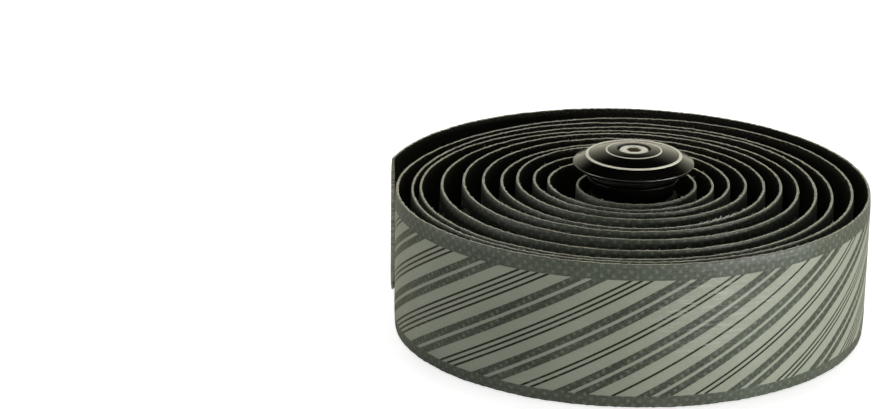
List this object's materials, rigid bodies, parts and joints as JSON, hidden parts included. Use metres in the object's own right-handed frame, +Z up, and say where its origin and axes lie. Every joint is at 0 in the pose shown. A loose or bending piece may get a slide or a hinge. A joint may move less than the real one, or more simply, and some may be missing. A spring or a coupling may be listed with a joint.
{
  "type": "handlebar tape roll",
  "caption": "Flat-wound roll of striped handlebar tape with an expanding bar-end plug standing in its core.",
  "frame": {"origin": "under the middle of the part's box, on the surface that the roll and the plug stand on", "axes": "+Z up along the roll's axis; -Y faces the picture's camera"},
  "size_m": [0.1068, 0.1084, 0.0402],
  "materials": {
    "tape": "matt foam tape, grey skin with pale diagonal stripes outside, black inside",
    "anodised_cap": "gloss black anodised, with a bright machined ring",
    "steel_screw": "bright stainless",
    "sleeve_rubber": "satin black rubber",
    "nut_alloy": "plain turned alloy"
  },
  "bodies": {
    "root": {"tape_roll": "tape", "plug_cap": "anodised_cap", "plug_screw": "steel_screw", "expander_sleeve": "sleeve_rubber", "wedge_nut": "nut_alloy"}
  },
  "joints": []
}
